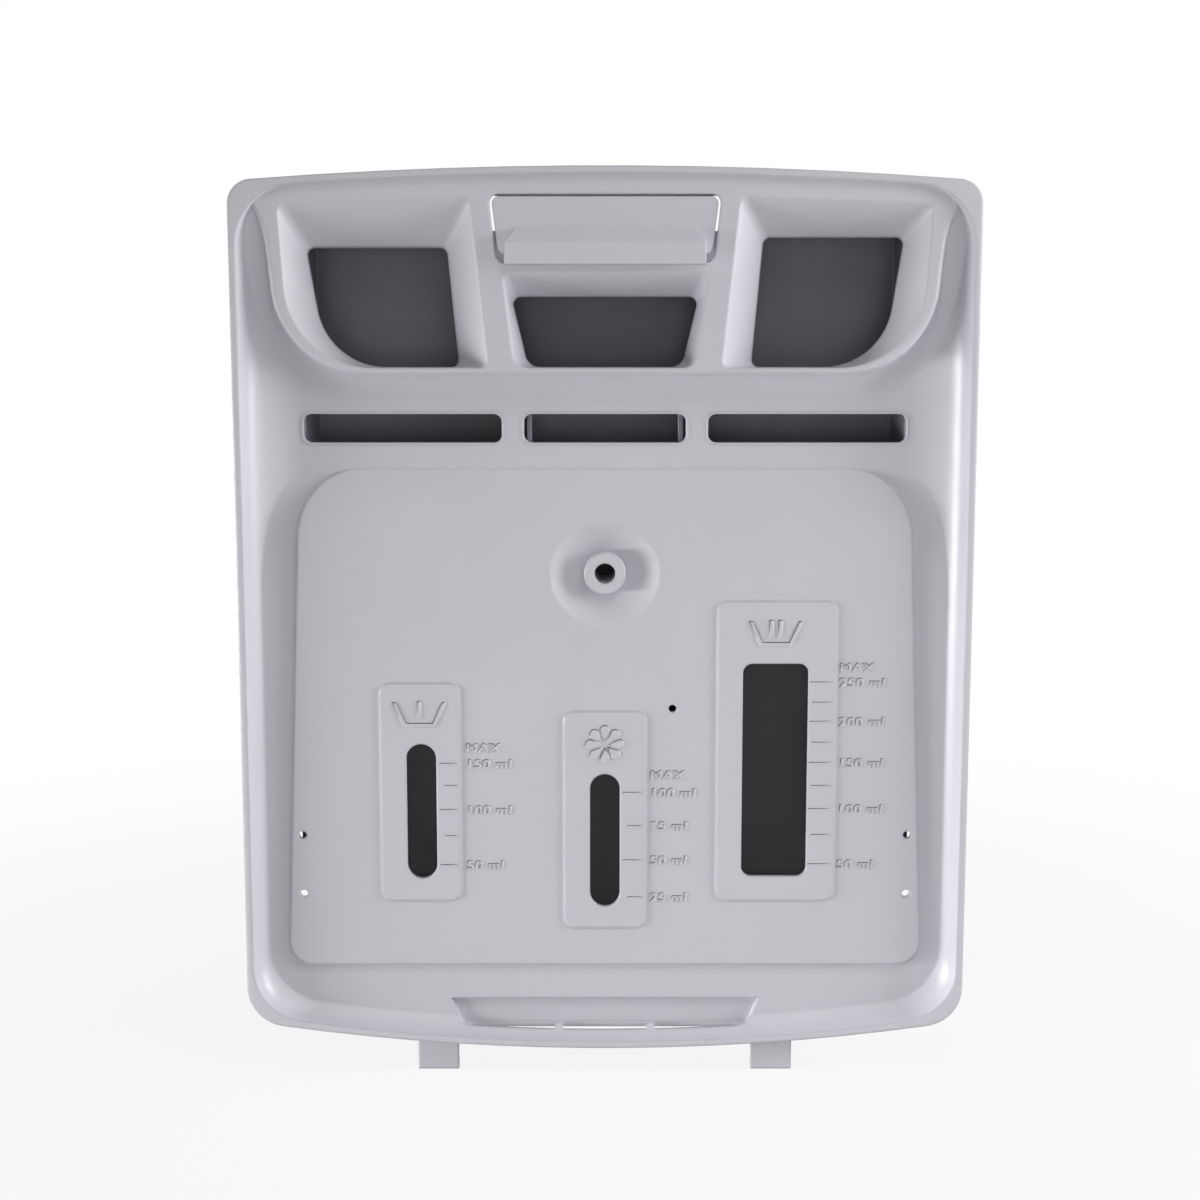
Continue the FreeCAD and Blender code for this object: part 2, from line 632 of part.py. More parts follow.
def latch_outline(sketch, grow, low, high):
    half_low, half_high = f"(latch_half_bottom + ({grow}))", f"(latch_half_top + ({grow}))"
    small = f"latch_radius + ({grow})"
    outline(sketch, [(f"-{half_low}", low, small), (half_low, low, small),
                     (half_high, high, small), (f"-{half_high}", high, small)])


latch_top = f"({top} - latch_drop)"
latch_low = f"({latch_top} - latch_height)"
flange_front = f"({plate_back} + slide_fit)"
flange_back = f"({flange_front} + flange_thickness)"
funnel_slope = f"((middle_throat_drop - middle_mouth_drop) / ({weld} - hopper_depth))"
funnel_roof = f"({top} - middle_mouth_drop + wall - {funnel_slope} * ({flange_front} - hopper_depth))"
seat_top = bay_floor
lug_low = f"({seat_top} + spring_length)"


def latch_guides():
    """Two hooked rails that hold the latch's flange behind the hopper's front wall."""
    rails = []
    for name, sign in sides.items():
        inner, outer = "(flange_half + slide_fit)", "(flange_half + slide_fit + guide_wall)"
        lip_inner = "(flange_half + slide_fit - guide_lip)"
        lip_front, back = f"{flange_back} + slide_fit", f"{flange_back} + slide_fit + guide_wall"
        height = (f"{bay_floor} - tray_wall", f"{top} - flange_high")
        for part, near, front in (("rail", inner, plate_back), ("hook", lip_inner, lip_front)):
            reach = sorted((mirrored(sign, near), mirrored(sign, outer)), key=value)
            rails.append(block(f"{name}_{part}", reach, (front, back), height))
    return rails


def hook_tabs():
    """Tabs under the lower edge that hook into the lid."""
    pieces = []
    edge = f"(tab_drop + bottom_bow * (tab_x / {side})^2)"
    root = f"{edge} + rim_lip - 0.75 * wall + {swell('cove_width', f'(tab_front + wall) / {weld}')}"
    for name, sign in sides.items():
        x = (f"{sign} * tab_x - tab_width / 2", f"{sign} * tab_x + tab_width / 2")
        pieces.append(block(f"{name}_tab", x, ("tab_front", "tab_front + wall"), ("0", root)))
        nib = ("tab_front", "tab_front + wall + hook_depth")
        pieces.append(block(f"{name}_hook_nib", x, nib, ("0", "hook_height")))
    return pieces


def drain_slits():
    slits = []
    for step in (-1, 0, 1):
        middle = f"{step} * (slit_length + slit_rib)"
        x = (f"{middle} - slit_length / 2", f"{middle} + slit_length / 2")
        z = ("tab_drop + drip_floor - 2 * wall", "tab_drop + drip_floor + wall / 2")
        slits.append(block(f"drain_slit_{step + 2}", x, ("slit_front", "slit_front + slit_depth"), z))
    return slits


def front_panel():
    rim = prism("rim", "0", "wall", lambda s: rim_outline(s, "0", "top_corner_radius", "bottom_corner_radius"))
    drip_back = prism("drip_back", "rim_lip", weld, lambda s: draw_drip(s, "wall"))
    mass = fuse("panel_mass", [rim, dish_form("dish_outside", "wall", weld), drip_back] + hook_tabs())
    field = field_form("field", "0", field_front, weld)
    shelf = shelf_form("shelf", "0", "0", weld)
    room = pair("Cut", "dish_room", dish_form("dish_inside", "0", "dish_depth"),
                fuse("dish_fill", hopper_form() + [valley_form("valley", "0", weld), field, shelf]))
    face = pair("Cut", "panel_face", mass, room)
    shelf_low = "tab_drop + drip_floor + drip_height + wall"
    inside = fuse("hollow_forms", [hopper_core(), valley_form("valley_hollow", "wall", f"{weld} + wall"),
                                   shelf_form("shelf_hollow", "wall", shelf_low, f"{weld} + wall")])
    hollows = fuse("panel_hollows", [pair("Common", "inner_hollows", inside, dish_form("dish_core", "0", weld)),
                                     field_form("field_hollow", "wall", field_back, f"{weld} + wall")])
    shell = pair("Cut", "panel_shell", face, hollows)
    inner_walls = fuse("inner_walls", [weld_ribs(), sphere("scoop_outside", "wall")] + inlets("wall", "wall"))
    walls = pair("Common", "hollow_walls", inner_walls, hollows)
    tube = rod("siphon_tube", "0", boss_z, "tube_diameter", field_back, "tube_depth")
    labels = prism("label_pads", f"{field_front} - label_rise", field_back, draw_labels)
    peg = doc.addObject("Part::Cylinder", "spring_peg")
    tie(peg, "Radius", "peg_diameter / 2")
    tie(peg, "Height", "peg_height + tray_wall")
    tie(peg, "Placement.Base.y", "spring_back")
    tie(peg, "Placement.Base.z", f"{seat_top} - tray_wall")
    beads = prism("slot_beads", "dish_depth - slot_bead", "dish_depth + wall / 2",
                  lambda s: draw_slots(s, "slot_lip"))
    grown = fuse("panel_grown", [shell, walls, tube, labels, peg, beads] + latch_guides())
    scoop = sphere("scoop_inside", "0")
    scooped = pair("Cut", "panel_scooped", grown, scoop)
    boss = rod("siphon_boss", "0", boss_z, "boss_diameter", field_front, f"{field_back} + scoop_depth")
    whole = fuse("panel_whole", [scooped, boss])
    window = prism("latch_window", "0", f"{plate_back} + slide_fit / 2", lambda s: latch_outline(
        s, "latch_gap", f"{latch_low} - latch_travel - latch_gap", f"{latch_top} + latch_gap"))
    bolt_slot = block("bolt_slot", ("-bolt_half - slide_fit", "bolt_half + slide_fit"),
                      (plate_back, f"{flange_back} + slide_fit"), (latch_top, top))
    bay_mouth = block("bay_mouth", ("-bay_half", "bay_half"), (f"0.75 * {weld}", f"{weld} + wall"),
                      (bay_floor, latch_top))
    cuts = [prism("slots", "dish_depth - wall", f"{weld} + wall", lambda s: draw_slots(s, "0")),
            prism("windows", f"{field_front} - wall", f"{field_back} + wall", draw_windows),
            prism("holes", f"{field_front} - wall", f"{field_back} + wall", draw_holes),
            prism("drip_scoop", "0", f"{shelf_front} + drip_depth", lambda s: draw_drip(s, "0")),
            rod("siphon_bore", "0", boss_z, "bore_diameter", "0", "tube_depth + wall"), window,
            bolt_slot, bay_mouth]
    return pair("Cut", "front_panel", whole, fuse("panel_cuts", cuts + inlets("0", "room") + drain_slits()))


def rear_tray():
    owner = body("tray_outside")
    near_sketch = sketch_on(owner, "tray_near", depth=weld)
    outline(near_sketch, tray_outline("tray_wall", "0", "facet_front"))
    far_sketch = sketch_on(owner, "tray_far", depth="tray_depth + tray_wall")
    outline(far_sketch, tray_outline("tray_wall", "tray_draft", "facet_back"))
    loft(owner, [near_sketch, far_sketch])
    flange = prism("tray_rim", weld, f"{weld} + tray_flange_thickness",
                   lambda s: outline(s, tray_outline("tray_flange", "0", "facet_front")))
    rooms = room_forms("room", "tray_depth", "tray_draft", "facet_back")
    return pair("Cut", "rear_tray", fuse("tray_mass", [owner, flange]), fuse("tray_rooms", rooms))


def release_latch():
    owner = body("release_latch")
    plate = sketch_on(owner, "latch_plate", depth="hopper_depth + latch_recess")
    latch_outline(plate, "0", latch_low, latch_top)
    pad(owner, plate, f"{flange_back} - hopper_depth - latch_recess")
    flange = sketch_on(owner, "latch_flange", depth=flange_front)
    low, high = f"{funnel_roof} + slide_fit + latch_travel", f"{top} - flange_high"
    neck, shoulder = "(latch_half_top - flange_inset)", f"{top} - flange_top"
    right = [("flange_half", low), ("flange_half", high), (neck, high), (neck, shoulder), ("bolt_half", shoulder),
             ("bolt_half", f"{top} - bolt_drop")]
    left = [(f"-{x}", height) for x, height in reversed(right)]
    outline(flange, [(x, height, "0") for x, height in right + left])
    pad(owner, flange, "flange_thickness")
    bar_low = f"{latch_low} - thumb_bar_overlap"
    bar_high = f"{bar_low} + thumb_bar_height"
    bar_foot = sketch_on(owner, "thumb_bar_foot", depth="hopper_depth + latch_recess")
    bar_face = sketch_on(owner, "thumb_bar_face", depth="hopper_depth - thumb_bar_front")
    for sketch, low, high, taper in ((bar_foot, latch_low, f"{bar_high} + thumb_bar_slope", "thumb_bar_taper"),
                                     (bar_face, bar_low, bar_high, "0")):
        half = f"(thumb_bar_half - ({taper}))"
        outline(sketch, [("-thumb_bar_half", low, "0"), ("thumb_bar_half", low, "0"),
                         (half, high, "0"), (f"-{half}", high, "0")])
    loft(owner, [bar_foot, bar_face])
    lug = sketch_on(owner, "spring_lug", depth=flange_front)
    box_outline(lug, "-lug_half", "lug_half", lug_low, f"{lug_low} + lug_thickness")
    pad(owner, lug, f"spring_back + spring_diameter / 2 - {flange_front}")
    peg = sketch_on(owner, "lug_peg", role="XY_Plane", depth=lug_low)
    ring(peg, "0", "spring_back", "peg_diameter")
    pad(owner, peg, "peg_height")
    return owner


def latch_spring():
    helix = doc.addObject("Part::Helix", "spring_path")
    coil = "((spring_diameter - wire_diameter) / 2)"
    tie(helix, "Radius", coil)
    tie(helix, "Pitch", "spring_pitch")
    tie(helix, "Height", "spring_length - wire_diameter - 2 * spring_fit")
    wire = doc.addObject("Part::Circle", "spring_wire")
    wire.Placement.Rotation = FreeCAD.Rotation(FreeCAD.Vector(1, 0, 0), 90)
    tie(wire, "Radius", "wire_diameter / 2")
    tie(wire, "Placement.Base.x", coil)
    spring = doc.addObject("Part::Sweep", "latch_spring")
    spring.Sections = [wire]
    spring.Spine = (helix, ["Edge1"])
    spring.Solid = True
    spring.Frenet = True
    tie(spring, "Placement.Base.y", "spring_back")
    tie(spring, "Placement.Base.z", f"{seat_top} + spring_fit + wire_diameter / 2")
    return spring


def level_window(name):
    """A clear pane behind a level window, with a step that fills the opening."""
    owner = body(f"{name}_level_window")
    step = sketch_on(owner, f"{name}_step", depth=f"{field_back} - pane_step")
    draw_window(step, name, "-pane_fit")
    pad(owner, step, "pane_step + pane_thickness")
    plate = sketch_on(owner, f"{name}_plate", depth=field_back)
    draw_window(plate, name, "pane_overlap")
    pad(owner, plate, "pane_thickness")
    return owner


def siphon_cap():
    """A cup over the siphon tube, gripped by three ribs."""
    owner = body("siphon_cap")
    rim = f"({field_back} + scoop_depth + cap_gap)"
    cup = sketch_on(owner, "cap_cup", depth=rim)
    ring(cup, "0", "0", "cap_diameter")
    pad(owner, cup, f"tube_depth + cap_gap + cap_wall - {rim}")
    hollow = sketch_on(owner, "cap_hollow", depth=rim)
    ring(hollow, "0", "0", "cap_diameter - 2 * cap_wall")
    pocket = owner.newObject("PartDesign::Pocket", "cap_pocket")
    pocket.Profile = hollow
    tie(pocket, "Length", f"tube_depth + cap_gap - {rim}")
    rib = sketch_on(owner, "cap_rib", depth=rim)
    box_outline(rib, "-cap_rib_width / 2", "cap_rib_width / 2", "tube_diameter / 2 + cap_fit",
                "cap_diameter / 2 - cap_wall / 2")
    rib_pad = pad(owner, rib, f"tube_depth + cap_gap - {rim}")
    ribs = owner.newObject("PartDesign::PolarPattern", "cap_ribs")
    ribs.Originals = [rib_pad]
    ribs.Axis = (next(f for f in owner.Origin.OriginFeatures if f.Role == "Y_Axis"), [""])
    ribs.Occurrences = 3
    owner.Tip = ribs
    tie(owner, "Placement.Base.z", boss_z)
    return owner


parts = [front_panel(), rear_tray(), release_latch(), latch_spring(), siphon_cap()]
parts += [level_window(name) for name in window_names]
doc.recompute()
for thing in doc.Objects:
    if "Invalid" in thing.State or "Error" in thing.State:
        raise RuntimeError(f"{thing.Name} failed: {thing.State}")
for part in parts:
    if part.Shape.isNull() or not part.Shape.isValid():
        raise RuntimeError(f"{part.Label} has no valid shape")
os.makedirs("parts", exist_ok=True)
for part in parts:
    part.Shape.exportStep(f"parts/{part.Label}.step")
    box = part.Shape.BoundBox
    print(part.Label, len(part.Shape.Solids), round(part.Shape.Volume), [round(v, 1) for v in
          (box.XMin, box.XMax, box.YMin, box.YMax, box.ZMin, box.ZMax)])
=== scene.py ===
import math

import bpy
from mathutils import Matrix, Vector


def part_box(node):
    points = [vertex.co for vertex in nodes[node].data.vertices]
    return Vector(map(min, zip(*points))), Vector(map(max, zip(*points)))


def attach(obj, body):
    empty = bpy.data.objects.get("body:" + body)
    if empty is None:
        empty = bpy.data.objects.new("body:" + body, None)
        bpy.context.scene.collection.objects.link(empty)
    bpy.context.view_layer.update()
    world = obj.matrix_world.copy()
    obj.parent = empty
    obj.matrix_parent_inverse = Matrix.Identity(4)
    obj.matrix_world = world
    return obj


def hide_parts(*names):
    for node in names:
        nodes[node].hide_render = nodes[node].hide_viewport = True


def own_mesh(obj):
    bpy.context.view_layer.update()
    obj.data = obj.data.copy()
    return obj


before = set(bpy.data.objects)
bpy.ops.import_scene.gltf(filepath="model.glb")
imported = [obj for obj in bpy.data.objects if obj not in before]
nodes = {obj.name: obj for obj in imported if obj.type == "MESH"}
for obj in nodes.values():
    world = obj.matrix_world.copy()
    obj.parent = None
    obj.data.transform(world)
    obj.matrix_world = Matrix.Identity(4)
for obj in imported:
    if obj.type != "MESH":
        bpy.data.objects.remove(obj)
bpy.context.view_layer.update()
print("frame:", ", ".join(sorted(nodes)))


class Flow:
    # One output socket of a node tree. Plain maths on it adds Math nodes.
    def __init__(self, tree, socket=None):
        self.tree = tree
        self.socket = socket

    def make(self, kind, settings=None, inputs=None, output=0):
        node = self.tree.nodes.new(kind)
        for name, value in (settings or {}).items():
            if name == "stops":
                marks = node.color_ramp.elements
                while len(marks) < len(value):
                    marks.new(1)
                for mark, (place, shade) in zip(marks, value):
                    mark.position = place
                    mark.color = (shade, shade, shade, 1)
            else:
                setattr(node, name, value)
        for name, value in (inputs or {}).items():
            if isinstance(value, Flow):
                self.tree.links.new(value.socket, node.inputs[name])
            else:
                node.inputs[name].default_value = value
        return Flow(self.tree, node.outputs[output] if node.outputs else None)

    def maths(self, operation, *values):
        return self.make("ShaderNodeMath", {"operation": operation}, dict(enumerate(values)))

    def vectors(self, operation, *values, output="Vector"):
        return self.make("ShaderNodeVectorMath", {"operation": operation}, dict(enumerate(values)), output)

    def __add__(self, other):
        return self.maths("ADD", self, other)

    def __radd__(self, other):
        return self.maths("ADD", other, self)

    def __sub__(self, other):
        return self.maths("SUBTRACT", self, other)

    def __rsub__(self, other):
        return self.maths("SUBTRACT", other, self)

    def __mul__(self, other):
        return self.maths("MULTIPLY", self, other)

    def __rmul__(self, other):
        return self.maths("MULTIPLY", other, self)

    def noise(self, place, scale, detail, roughness=0.5):
        sockets = {"Vector": place, "Scale": scale, "Detail": detail, "Roughness": roughness}
        return self.make("ShaderNodeTexNoise", {}, sockets)

    def ramp(self, *stops):
        return self.make("ShaderNodeValToRGB", {"stops": stops}, {"Fac": self})

    def over(self, base, top):
        # self is the share of top, which lies over base
        return self.make("ShaderNodeMix", {"data_type": "RGBA"}, {0: self, 6: base, 7: top}, 2)

    def tint(self, dark, light):
        # self runs from one plain colour to the other
        return self.over((*dark, 1), (*light, 1))


def newMaterial(name):
    material = bpy.data.materials.new(name)
    material.use_nodes = True
    material.node_tree.nodes.clear()
    return material, Flow(material.node_tree)


def closeMaterial(flow, shader):
    flow.make("ShaderNodeOutputMaterial", {}, {"Surface": shader})


def shades(colour, spread):
    return [tuple(channel * (1 + sign * spread) for channel in colour) for sign in (-1, 1)]


# Moulded plastic: cloudy pigment, faint flow streaks, spark-eroded grain, rounded edges with a painted
# highlight along them, and painted shade on the upper left walls of marks
moulding = {"cloudShare": 0.55, "streakShare": 0.25, "speckShare": 0.2, "streakStretch": (60, 60, 7),
            "handledScale": 38, "speckRoughness": 0.06, "grainDepth": 0.0002,
            "edgeSamples": 6, "edgeShare": 0.5, "edgePaler": 1.12, "paintedShadeSide": (-0.55, 0, 0.83)}


def mouldedPlastic(name, look):
    material, flow = newMaterial(name)
    place = flow.make("ShaderNodeTexCoord", {}, {}, "Object")
    normal = flow.make("ShaderNodeNewGeometry", {}, {}, "Normal")
    cloud = flow.noise(place, look["cloudScale"], 3, 0.55)
    streak = flow.noise(flow.vectors("MULTIPLY", place, moulding["streakStretch"]), 1, 2, 0.6)
    speck = flow.noise(place, look["speckScale"], 1, 0.4)
    tone = (cloud * moulding["cloudShare"] + streak * moulding["streakShare"]
            + speck * moulding["speckShare"])
    colour = tone.ramp((0.3, 0), (0.7, 1)).tint(*shades(look["colour"], look["spread"]))
    handled = flow.noise(place, moulding["handledScale"], 4, 0.65).ramp((0.42, 0), (0.68, 1))
    rough = look["roughness"] + (speck - 0.5) * moulding["speckRoughness"] - handled * look["shine"]
    grain = flow.noise(place, look["grainScale"], 2, 0.6)
    bumpInputs = {"Height": grain, "Strength": look["grain"], "Distance": moulding["grainDepth"]}
    if look["edge"]:
        rounded = flow.make("ShaderNodeBevel", {"samples": moulding["edgeSamples"]},
                            {"Radius": look["edge"]})
        # painted highlight: edges paler where the rounded normal turns away from the face
        paintedEdgeHighlight = flow.vectors("DOT_PRODUCT", rounded, normal, output="Value").ramp((0.75, 1), (0.99, 0))
        pale = tuple(min(1, channel * moulding["edgePaler"]) for channel in look["colour"])
        colour = (paintedEdgeHighlight * moulding["edgeShare"]).over(colour, (*pale, 1))
        bumpInputs["Normal"] = rounded
    if "paintedShade" in look:  # painted shade on the upper left walls of the marks
        shadeFacing = flow.vectors("DOT_PRODUCT", normal, moulding["paintedShadeSide"], output="Value")
        colour = shadeFacing.ramp((0.05, 0), (0.4, 1)).over(colour, (*look["paintedShade"], 1))
    closeMaterial(flow, flow.make("ShaderNodeBsdfPrincipled", {}, {
        "Base Color": colour, "Roughness": rough, "IOR": 1.5, "Specular IOR Level": look["specular"],
        "Normal": flow.make("ShaderNodeBump", {}, bumpInputs)}))
    return material


panelLook = {"colour": (0.635, 0.637, 0.683), "spread": 0.025, "roughness": 0.36, "shine": 0.05,
             "specular": 0.5, "cloudScale": 14, "speckScale": 900, "grainScale": 2400, "grain": 0.12,
             "edge": 0.0017}
latchLook = dict(panelLook, colour=(0.64, 0.642, 0.688), edge=0.0008)
# Marks: colour of the painted shade on their upper left walls
markLook = dict(panelLook, edge=0, paintedShade=(0.11, 0.11, 0.12))
trayLook = {"colour": (0.158, 0.164, 0.19), "spread": 0.14, "roughness": 0.36, "shine": 0.08,
            "specular": 0.5, "cloudScale": 20, "speckScale": 1200, "grainScale": 3000, "grain": 0.1,
            "edge": 0.0012}
capLook = dict(trayLook, colour=(0.03, 0.03, 0.034), roughness=0.5, edge=0.0004)
panelPlastic = mouldedPlastic("panelPlastic", panelLook)
latchPlastic = mouldedPlastic("latchPlastic", latchLook)
markPlastic = mouldedPlastic("markPlastic", markLook)
trayPlastic = mouldedPlastic("trayPlastic", trayLook)
capPlastic = mouldedPlastic("capPlastic", capLook)


# Smoky panes, see-through by alpha: glossy, slightly wavy, with a breath of dust
paneLook = {"colour": (0.014, 0.014, 0.016), "dust": (0.03, 0.03, 0.033), "dustScale": 160,
            "roughness": 0.06, "dustRoughness": 0.05, "waveScale": 45, "wave": 0.03, "body": 0.4}


def clearPlastic(look):
    material, flow = newMaterial("clearPlastic")
    place = flow.make("ShaderNodeTexCoord", {}, {}, "Object")
    dust = flow.noise(place, look["dustScale"], 4, 0.7).ramp((0.45, 0), (0.75, 1))
    colour = dust.tint(look["colour"], look["dust"])
    rough = look["roughness"] + dust * look["dustRoughness"]
    wave = flow.noise(place, look["waveScale"], 1, 0.4)
    normal = flow.make("ShaderNodeBump", {}, {"Height": wave, "Strength": look["wave"], "Distance": 0.0004})
    closeMaterial(flow, flow.make("ShaderNodeBsdfPrincipled", {}, {
        "Base Color": colour, "Roughness": rough, "IOR": 1.49, "Alpha": look["body"], "Normal": normal}))
    return material


panePlastic = clearPlastic(paneLook)


# Drawn spring wire, finely scratched
wireLook = {"colour": (0.55, 0.55, 0.56), "spread": 0.12, "roughness": 0.25, "scratched": 0.15,
            "stretch": (300, 300, 4000), "scratchBump": 0.15}


def springWire(look):
    material, flow = newMaterial("springSteel")
    place = flow.make("ShaderNodeTexCoord", {}, {}, "Object")
    drawn = flow.noise(flow.vectors("MULTIPLY", place, look["stretch"]), 1, 3)
    colour = drawn.tint(*shades(look["colour"], look["spread"]))
    rough = look["roughness"] + drawn * look["scratched"]
    bumpInputs = {"Height": drawn, "Strength": look["scratchBump"], "Distance": 0.0001}
    normal = flow.make("ShaderNodeBump", {}, bumpInputs)
    closeMaterial(flow, flow.make("ShaderNodeBsdfPrincipled", {}, {
        "Base Color": colour, "Metallic": 1, "Roughness": rough, "Normal": normal}))
    return material


springSteel = springWire(wireLook)


def addObject(name, data):
    thing = bpy.data.objects.new(name, data)
    bpy.context.scene.collection.objects.link(thing)
    return thing


def meshFrom(name, curve, material):
    holder = bpy.data.objects.new(name, curve)
    mesh = bpy.data.meshes.new_from_object(holder)
    bpy.data.objects.remove(holder)
    mesh.name = name
    mesh.materials.clear()
    mesh.materials.append(material)
    return mesh


# Return spring: a wound wire in the place of the CAD coil
coil = {"wire": 0.0008, "pitch": 0.0024, "stepsPerTurn": 28, "room": 0.0001}


def windSpring():
    low, high = [Vector(corner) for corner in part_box("latch_spring")]
    middle = (low + high) / 2
    radius = (high.x - low.x - coil["wire"]) / 2
    rise = high.z - low.z - coil["wire"]
    path = bpy.data.curves.new("latchCoil", "CURVE")
    path.dimensions = "3D"
    path.bevel_depth = coil["wire"] / 2
    path.bevel_resolution = 2
    path.use_fill_caps = True
    steps = round(rise / coil["pitch"] * coil["stepsPerTurn"])
    wire = path.splines.new("POLY")
    wire.points.add(steps)
    for i, point in enumerate(wire.points):
        turn = math.tau * rise / coil["pitch"] * i / steps
        point.co = (middle.x + radius * math.cos(turn), middle.y + radius * math.sin(turn),
                    low.z + coil["wire"] / 2 + rise * i / steps, 1)
    mesh = meshFrom("latchCoil", path, springSteel)
    for polygon in mesh.polygons:
        polygon.use_smooth = True
    piece = addObject("latchCoil", mesh)
    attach(piece, "dispenser")
    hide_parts("latch_spring")
    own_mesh(piece)


windSpring()
print("spring wound")

finishes = {"front_panel": panelPlastic, "rear_tray": trayPlastic, "release_latch": latchPlastic,
            "siphon_cap": capPlastic, "prewash_level_window": panePlastic,
            "softener_level_window": panePlastic, "main_wash_level_window": panePlastic}
for name, material in finishes.items():
    nodes[name].data.materials.clear()
    nodes[name].data.materials.append(material)
print("finishes on", len(finishes), "mouldings")


# Moulded marks: low reliefs with slanted walls, sunk a little into the surface that carries them
reliefs = {"padY": 0.0073, "fieldY": 0.008, "proud": 0.00002, "foot": 0.0001}


def relief(name, outline, wall, depth, widen=1):
    outline.dimensions = "2D"
    outline.fill_mode = "BOTH"
    outline.extrude = reliefs["foot"]
    outline.bevel_depth = wall
    outline.bevel_resolution = 0
    mesh = meshFrom(name, outline, markPlastic)
    back = depth + reliefs["foot"] - reliefs["proud"]
    for vert in mesh.vertices:
        vert.co = Vector((vert.co.x * widen, back - vert.co.z, vert.co.y))
    piece = addObject(name, mesh)
    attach(piece, "dispenser")


lettering = {"height": 0.0036, "capShare": 0.69, "widen": 1.24, "spacing": 1.08, "wall": 0.00029}


def word(name, text, x, z):
    letters = bpy.data.curves.new(name, "FONT")
    letters.body = text
    letters.size = lettering["height"] / lettering["capShare"]
    letters.space_character = lettering["spacing"]
    letters.resolution_u = 3
    letters.offset_x = x / lettering["widen"]
    letters.offset_y = z - lettering["height"] / 2
    relief(name, letters, lettering["wall"], reliefs["fieldY"], lettering["widen"])


def drawing(name, loops, wall):
    outline = bpy.data.curves.new(name, "CURVE")
    for loop in loops:
        spline = outline.splines.new("POLY")
        spline.points.add(len(loop) - 1)
        for point, (x, z) in zip(spline.points, loop):
            point.co = (x, z, 0, 1)
        spline.use_cyclic_u = True
    relief(name, outline, wall, reliefs["padY"])


def bar(x0, x1, z, thick):
    return [(x0, z - thick / 2), (x1, z - thick / 2), (x1, z + thick / 2), (x0, z + thick / 2)]


def stroke(start, end, thick):
    ahead = (Vector(end) - Vector(start)).normalized() * thick / 2
    across = Vector((-ahead.y, ahead.x))
    return [tuple(Vector(p) + a) for p, a in ((start, -ahead - across), (end, ahead - across),
                                              (end, ahead + across), (start, -ahead + across))]


# Scales beside the three windows, millimetres: tick heights, tick ends, label column
perMetre = 1000
scales = {
    "prewash": {"ticks": {134.1: "150 ml", 124.6: "", 114.2: "100 ml", 102.8: "", 90.2: "50 ml"},
                "shortAt": ("",), "long": -68.9, "short": -66.9, "end": -61.2, "text": -58.2, "max": 141.0},
    "softener": {"ticks": {121.6: "100 ml", 107.2: "75 ml", 92.3: "50 ml", 76.1: "25 ml"},
                 "shortAt": ("75 ml", "25 ml"), "long": 7.8, "short": 9.8, "end": 16.6, "text": 19,
                 "max": 129.3},
    "mainWash": {"ticks": {168.9: "250 ml", 160.3: "", 152.2: "200 ml", 143.2: "", 134.5: "150 ml",
                           124.6: "", 114.6: "100 ml", 103.3: "", 90.6: "50 ml"},
                 "shortAt": ("",), "long": 85.6, "short": 86.8, "end": 95.2, "text": 97.6, "max": 175.3},
}
tickLook = {"thick": 0.0005, "wall": 0.00029}
for name, scale in scales.items():
    textX = scale["text"] / perMetre
    ticks = []
    for height, label in scale["ticks"].items():
        start = scale["short"] if label in scale["shortAt"] else scale["long"]
        ticks.append(bar(start / perMetre, scale["end"] / perMetre, height / perMetre, tickLook["thick"]))
        if label:
            word(f"{name}{label.replace(' ', '')}", label, textX, height / perMetre)
    drawing(f"{name}Ticks", ticks, tickLook["wall"])
    word(f"{name}Max", "MAX", textX, scale["max"] / perMetre)
print("scales moulded")


# Wash-tub signs and a softener blossom on the pads
signs = {"line": 0.0011, "wall": 0.0004,
         "tubWidth": 0.0205, "tubFoot": 0.012, "tubHeight": 0.0094, "innerFoot": 0.6, "barDrop": 0.0012,
         "petals": 8, "petalReach": 0.0079, "petalStart": 0.0022, "petalWidth": 0.0036, "tipSteps": 8}


def tubSign(name, x, z, bars):
    top, foot = z + signs["tubHeight"] / 2, z - signs["tubHeight"] / 2
    half, footHalf = signs["tubWidth"] / 2, signs["tubFoot"] / 2
    line = signs["line"] / 2
    inner = line * signs["innerFoot"]
    loops = [[(x - half - line, top), (x - footHalf - line, foot - line), (x + footHalf + line, foot - line),
              (x + half + line, top), (x + half - line, top), (x + footHalf - inner, foot + line),
              (x - footHalf + inner, foot + line), (x - half + line, top)]]
    for place in bars:
        loops.append(stroke((x + place, top), (x + place, z - signs["barDrop"]), signs["line"]))
    drawing(name, loops, signs["wall"])


def blossomSign(name, x, z):
    loops = []
    tipRadius = signs["petalWidth"] / 2
    for i in range(signs["petals"]):
        turn = math.tau * i / signs["petals"]
        out = Vector((math.cos(turn), math.sin(turn)))
        across = Vector((-math.sin(turn), math.cos(turn)))
        tipCentre = Vector((x, z)) + out * (signs["petalReach"] - tipRadius)
        petal = [Vector((x, z)) + out * signs["petalStart"]]
        for step in range(signs["tipSteps"] + 1):
            sweep = math.pi * (step / signs["tipSteps"] - 0.5)
            petal.append(tipCentre + (across * math.sin(sweep) + out * math.cos(sweep)) * tipRadius)
        loops.append([tuple(point) for point in petal])
    drawing(name, loops, signs["wall"])


tubSign("prewashTub", -0.0775, 0.1556, [0])
tubSign("mainWashTub", 0.071, 0.190, [-0.0019, 0.0019])
blossomSign("softenerBlossom", 0, 0.1427)
print("signs moulded")

# Pale floor and white surroundings: camera, metal and glass see white, the floor keeps a soft shadow
stage = {"floorSize": 40, "floorZ": -0.0004, "floorTones": ((0.84, 0.84, 0.84), (0.88, 0.88, 0.88)),
         "cloudScale": 3, "shadow": 0.14, "shadowReach": (0.2, 0.7), "ambient": 0.26,
         "white": (1, 1, 1, 1)}


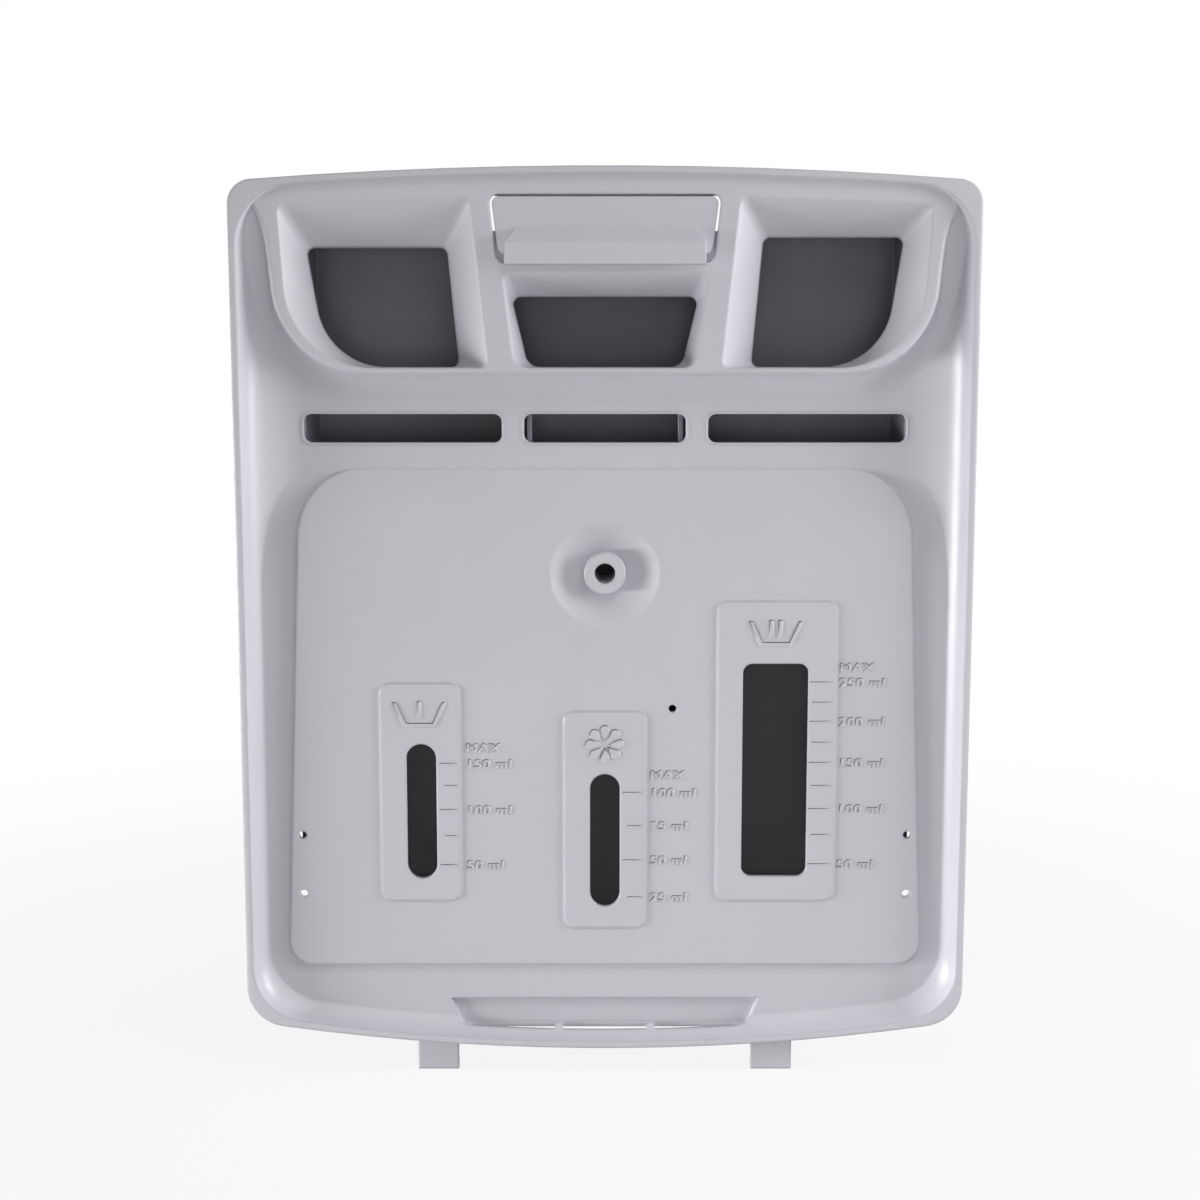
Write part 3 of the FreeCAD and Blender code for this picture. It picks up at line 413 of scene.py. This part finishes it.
def seesBackground(flow):
    camera, gloss, glass = [flow.make("ShaderNodeLightPath", {}, {}, f"Is {kind} Ray")
                            for kind in ("Camera", "Glossy", "Transmission")]
    return flow.maths("MAXIMUM", flow.maths("MAXIMUM", camera, gloss), glass)


def buildFloor():
    half, z = stage["floorSize"] / 2, stage["floorZ"]
    mesh = bpy.data.meshes.new("floor")
    corners = [(-half, -half, z), (half, -half, z), (half, half, z), (-half, half, z)]
    mesh.from_pydata(corners, [], [(0, 1, 2, 3)])
    addObject("floor", mesh)
    material, flow = newMaterial("paleFloor")
    place = flow.make("ShaderNodeTexCoord", {}, {}, "Object")
    colour = flow.noise(place, stage["cloudScale"], 2).tint(*stage["floorTones"])
    paint = flow.make("ShaderNodeBsdfDiffuse", {}, {"Color": colour})
    glow = flow.make("ShaderNodeEmission", {}, {"Color": stage["white"], "Strength": 1})
    away = flow.vectors("LENGTH", place, output="Value")
    near = flow.make("ShaderNodeMapRange", {"interpolation_type": "SMOOTHSTEP"}, {
        "Value": away, "From Min": stage["shadowReach"][0], "From Max": stage["shadowReach"][1],
        "To Min": 1, "To Max": 0})
    share = seesBackground(flow) * (1 - near * stage["shadow"])
    closeMaterial(flow, flow.make("ShaderNodeMixShader", {}, {0: share, 1: paint, 2: glow}))
    mesh.materials.append(material)


def buildWorld():
    world = bpy.data.worlds.new("studio")
    bpy.context.scene.world = world
    world.use_nodes = True
    world.node_tree.nodes.clear()
    flow = Flow(world.node_tree)
    around, seen = [flow.make("ShaderNodeBackground", {}, {"Color": stage["white"], "Strength": strength})
                    for strength in (stage["ambient"], 1)]
    surface = flow.make("ShaderNodeMixShader", {}, {0: seesBackground(flow), 1: around, 2: seen})
    flow.make("ShaderNodeOutputWorld", {}, {"Surface": surface})


lamps = {
    "rightBox": {"place": (1.2, -0.22, 0.44), "aim": (0, 0, 0.24), "size": (0.4, 0.6),
                 "power": 11.1, "spread": 180},
    "leftBox": {"place": (-1.15, -0.23, 0.1), "aim": (0.14, 0, 0.08), "size": (0.5, 0.18),
                "power": 1.0, "spread": 44},
    "frontBox": {"place": (0.45, -0.8, 1.4), "aim": (0, 0, 0.18), "size": (0.9, 0.6),
                 "power": 4.35, "spread": 180},
}


def buildLamps():
    for name, lamp in lamps.items():
        light = bpy.data.lights.new(name, "AREA")
        light.shape = "RECTANGLE"
        light.size, light.size_y = lamp["size"]
        light.energy = lamp["power"]
        light.spread = math.radians(lamp["spread"])
        holder = addObject(name, light)
        holder.location = lamp["place"]
        ahead = Vector(lamp["aim"]) - Vector(lamp["place"])
        holder.rotation_euler = ahead.to_track_quat("-Z", "Y").to_euler()


view = {"place": (-0.00205, -0.9845, 0.3806), "pitch": 10.1, "lens": 73.05, "sensor": 36}


def buildCamera():
    camera = bpy.data.cameras.new("camera")
    camera.lens = view["lens"]
    camera.sensor_width = view["sensor"]
    holder = addObject("camera", camera)
    holder.location = view["place"]
    holder.rotation_euler = (math.radians(90 - view["pitch"]), 0, 0)
    bpy.context.scene.camera = holder


buildFloor()
buildWorld()
buildLamps()
buildCamera()
bpy.context.scene.view_settings.view_transform = "Standard"
print("stage set")
